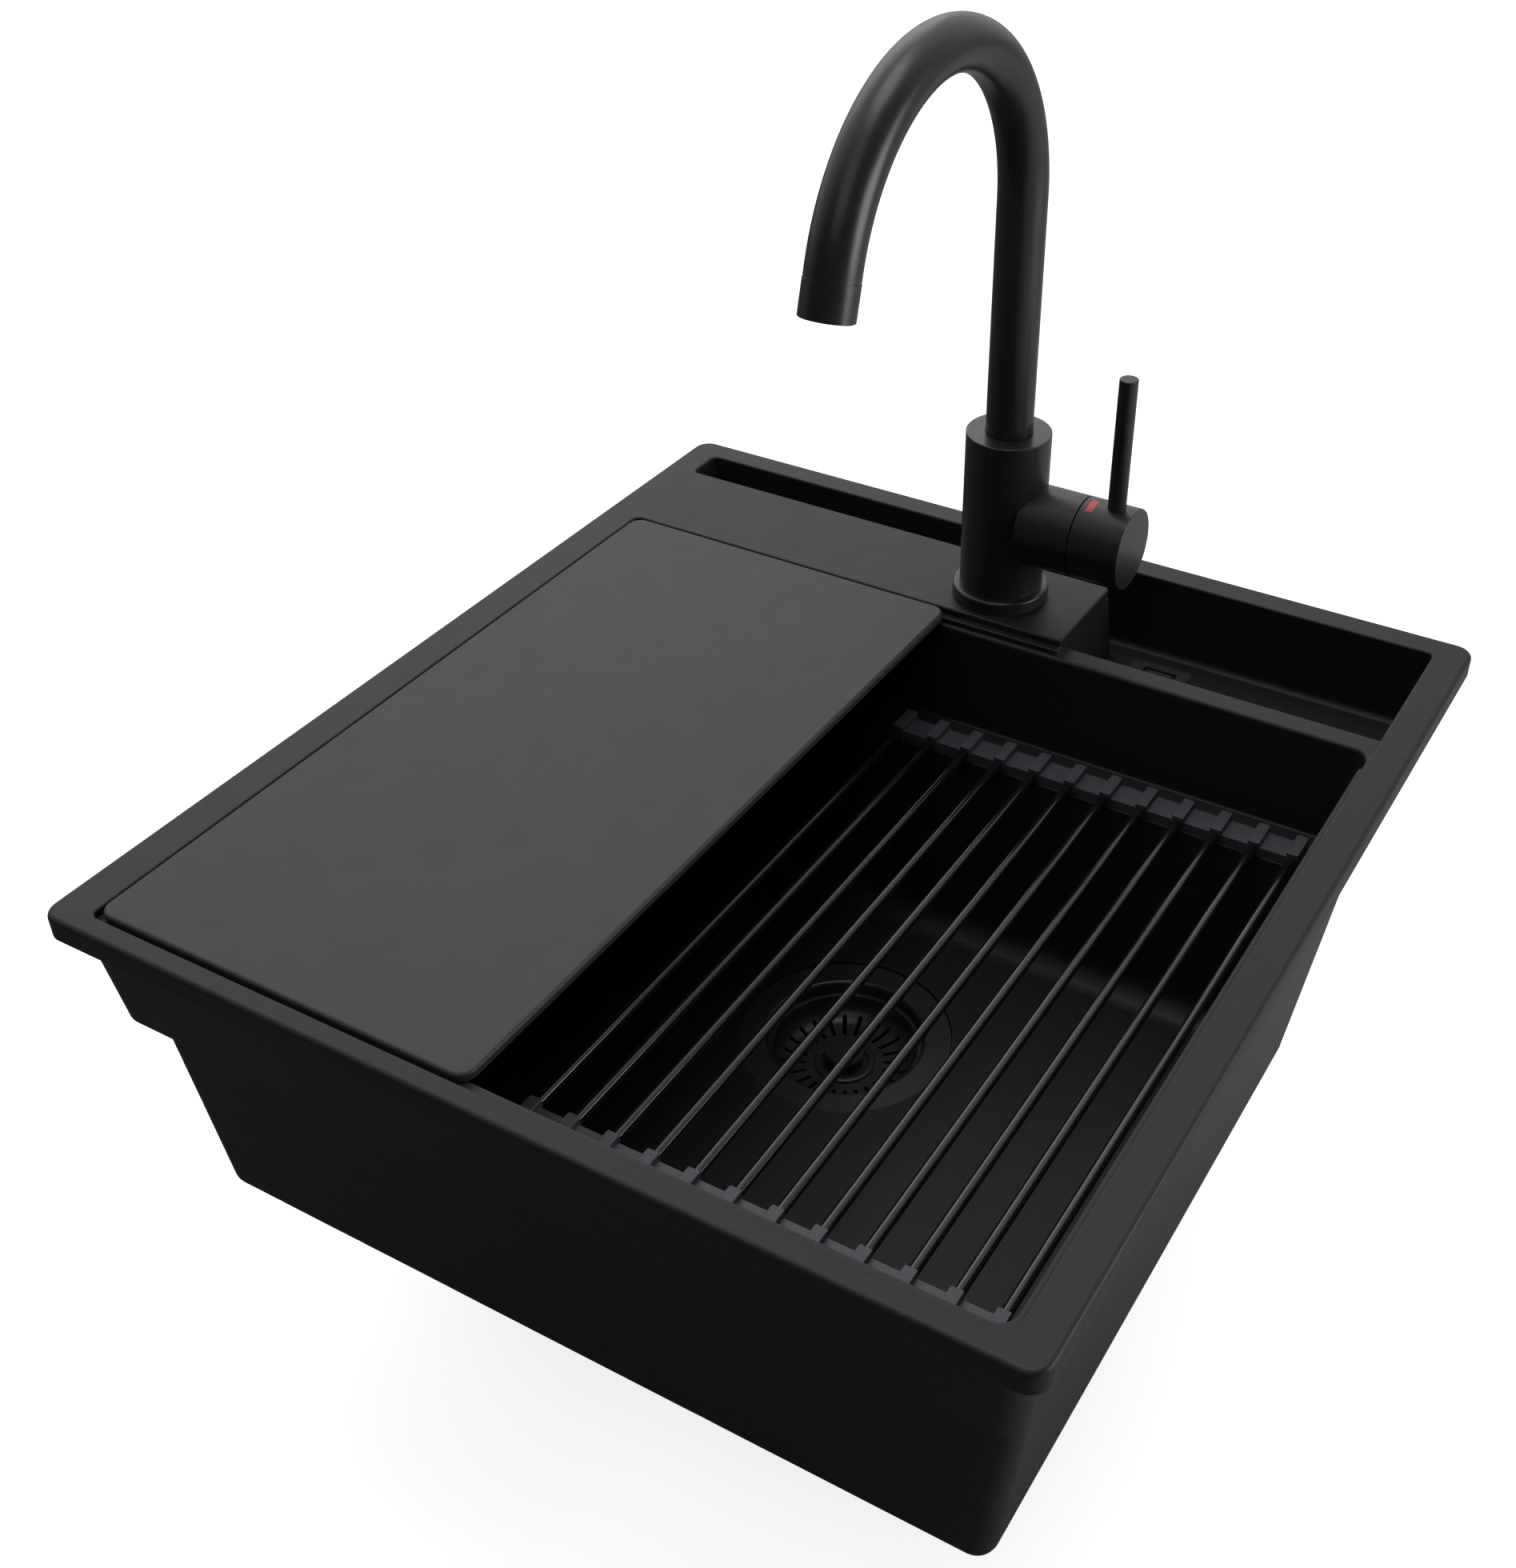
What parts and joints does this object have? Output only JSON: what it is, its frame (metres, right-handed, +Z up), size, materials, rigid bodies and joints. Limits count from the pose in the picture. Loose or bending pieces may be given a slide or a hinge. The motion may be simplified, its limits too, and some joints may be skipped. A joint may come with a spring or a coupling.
{
  "type": "workstation kitchen sink",
  "caption": "Drop-in workstation kitchen sink with a ledged bowl, tray and rear slot, swivel arch mixer tap, sliding board, roll-up rack and basket strainer.",
  "frame": {"origin": "middle of the worktop cut-out, in the plane of the rim's underside", "axes": "+Z up, +Y to the back where the tap stands, +X to the right towards the tray"},
  "size_m": [0.4764, 0.52, 0.5951],
  "materials": {
    "composite": "matt moulded quartz composite, anthracite",
    "board": "matt dark grey board",
    "silicone": "satin blue-grey silicone",
    "rod_metal": "glossy gunmetal coating on steel",
    "tap_metal": "brushed gunmetal coating",
    "strainer_steel": "gunmetal coated steel",
    "rubber": "black rubber",
    "waste_plastic": "black polypropylene",
    "cover_plastic": "matt anthracite plastic",
    "bush_plastic": "black acetal",
    "cartridge_plastic": "natural acetal",
    "brass": "turned brass",
    "zinc_steel": "zinc plated steel",
    "red_mark": "red enamel"
  },
  "bodies": {
    "sink": {"sink_basin": "composite", "drain_flange": "strainer_steel", "drain_gasket": "rubber", "waste_locknut": "waste_plastic", "waste_tailpiece": "waste_plastic", "waste_tail_nut": "waste_plastic", "overflow_cover": "cover_plastic", "overflow_funnel": "waste_plastic", "overflow_pipe": "waste_plastic", "tap_gasket": "rubber", "tap_base_ring": "tap_metal", "tap_body": "tap_metal", "spout_bush": "bush_plastic", "cartridge": "cartridge_plastic", "cartridge_nut": "brass", "tap_shank": "brass", "fixing_washer": "zinc_steel", "fixing_nut": "brass", "inlet_hot": "brass", "inlet_cold": "brass"},
    "board": {"cutting_board": "board"},
    "rack": {"rack_strip_front": "silicone", "rack_strip_rear": "silicone", "rack_rod_01": "rod_metal", "rack_rod_02": "rod_metal", "rack_rod_03": "rod_metal", "rack_rod_04": "rod_metal", "rack_rod_05": "rod_metal", "rack_rod_06": "rod_metal", "rack_rod_07": "rod_metal", "rack_rod_08": "rod_metal", "rack_rod_09": "rod_metal", "rack_rod_10": "rod_metal", "rack_rod_11": "rod_metal", "rack_rod_12": "rod_metal"},
    "strainer": {"strainer_basket": "strainer_steel", "strainer_knob": "strainer_steel", "strainer_stem": "strainer_steel", "strainer_seal": "rubber"},
    "spout": {"spout_tube": "tap_metal", "spout_foot": "brass", "spout_seal_lower": "rubber", "spout_seal_upper": "rubber", "aerator_housing": "tap_metal", "aerator_insert": "bush_plastic"},
    "temperature": {"cartridge_sleeve": "cartridge_plastic"},
    "lever": {"lever_cap": "tap_metal", "lever_rod": "tap_metal", "lever_stem": "brass", "temperature_mark": "red_mark", "grub_screw": "zinc_steel"}
  },
  "joints": [
    {"name": "board_lift", "type": "slide", "parent": "sink", "child": "board", "axis": [0, 0, 1], "range_m": [0, 0.16]},
    {"name": "rack_lift", "type": "slide", "parent": "sink", "child": "rack", "axis": [0.22, 0, 0.9755], "range_m": [0, 0.15]},
    {"name": "strainer_lift", "type": "slide", "parent": "sink", "child": "strainer", "axis": [0, 0, 1], "range_m": [0, 0.08]},
    {"name": "spout_swivel", "type": "hinge", "parent": "sink", "child": "spout", "pos_m": [0, 0.1882, 0.1], "axis": [0, 0, 1], "continuous": true},
    {"name": "lever_temperature", "type": "hinge", "parent": "sink", "child": "temperature", "pos_m": [0, 0.1882, 0.0579], "axis": [1, 0, 0], "range_deg": [-45, 45]},
    {"name": "lever_flow", "type": "hinge", "parent": "temperature", "child": "lever", "pos_m": [0.0453, 0.1882, 0.0382], "axis": [0, 1, 0], "range_deg": [0, 20]}
  ]
}
